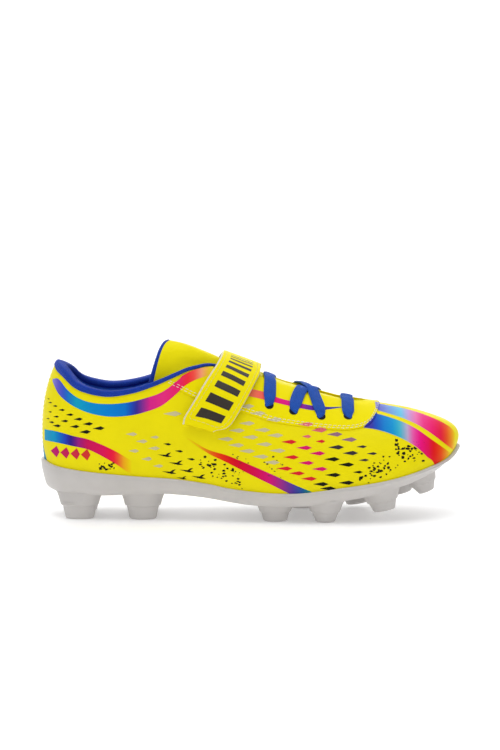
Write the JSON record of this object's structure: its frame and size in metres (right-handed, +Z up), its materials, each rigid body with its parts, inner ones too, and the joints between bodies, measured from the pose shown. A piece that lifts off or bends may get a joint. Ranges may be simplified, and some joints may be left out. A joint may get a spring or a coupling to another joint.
{
  "type": "soccer cleat",
  "caption": "Child's low-cut soccer cleat for the right foot: studded moulded sole, padded collar and tongue, elastic lace and a hook-and-loop instep strap that opens.",
  "frame": {"origin": "middle of the footprint on the ground", "axes": "+X to the toe, -Y to the outer (lateral) side, +Z up"},
  "size_m": [0.2251, 0.0782, 0.0942],
  "materials": {
    "outsole_plastic": "satin moulded",
    "board": "pressed fibre",
    "foam": "open foam",
    "sock_fabric": "brushed knit",
    "printed_upper": "coated synthetic leather, satin, printed",
    "eyestay_film": "coated synthetic leather, satin",
    "backing": "woven",
    "stiffener": "matt",
    "mesh_lining": "knitted mesh",
    "tongue_skin": "coated synthetic leather, satin",
    "strap_skin": "coated synthetic leather, satin, printed",
    "strap_backing": "woven",
    "hook_tape": "hook tape",
    "loop_tape": "loop pile",
    "lace_knit": "knitted elastic"
  },
  "bodies": {
    "shoe": {"outsole": "outsole_plastic", "insole_board": "board", "sockliner_foam": "foam", "sockliner_cover": "sock_fabric", "vamp": "printed_upper", "medial_quarter": "printed_upper", "eyestay": "eyestay_film", "eyestay_backing": "backing", "heel_counter": "stiffener", "toe_puff": "stiffener", "collar_foam": "foam", "quarter_lining": "mesh_lining", "vamp_lining": "mesh_lining", "topline_binding": "mesh_lining", "tongue_base_skin": "tongue_skin", "tongue_base_foam": "foam", "tongue_base_lining": "mesh_lining", "strap_anchor": "strap_skin", "loop_patch": "loop_tape", "elastic_lace": "lace_knit"},
    "tongue_top": {"tongue_top_skin": "tongue_skin", "tongue_top_foam": "foam", "tongue_top_lining": "mesh_lining"},
    "strap": {"strap_bridge": "strap_skin", "strap_bridge_backing": "strap_backing"},
    "tab": {"strap_tab": "strap_skin", "strap_tab_backing": "strap_backing", "hook_patch": "hook_tape"}
  },
  "joints": [
    {"name": "tongue_tilt", "type": "hinge", "parent": "shoe", "child": "tongue_top", "pos_m": [-0.0246, 0, 0.0863], "axis": [0, 1, 0], "range_deg": [0, 35]},
    {"name": "strap_open", "type": "hinge", "parent": "shoe", "child": "strap", "pos_m": [-0.01556, 0.02886, 0.06424], "axis": [-0.8577, -0.1297, 0.4975], "range_deg": [0, 110]},
    {"name": "tab_peel", "type": "hinge", "parent": "strap", "child": "tab", "pos_m": [-0.00715, -0.0198, 0.07876], "axis": [-0.8681, 0.1889, 0.4591], "range_deg": [0, 75]}
  ]
}
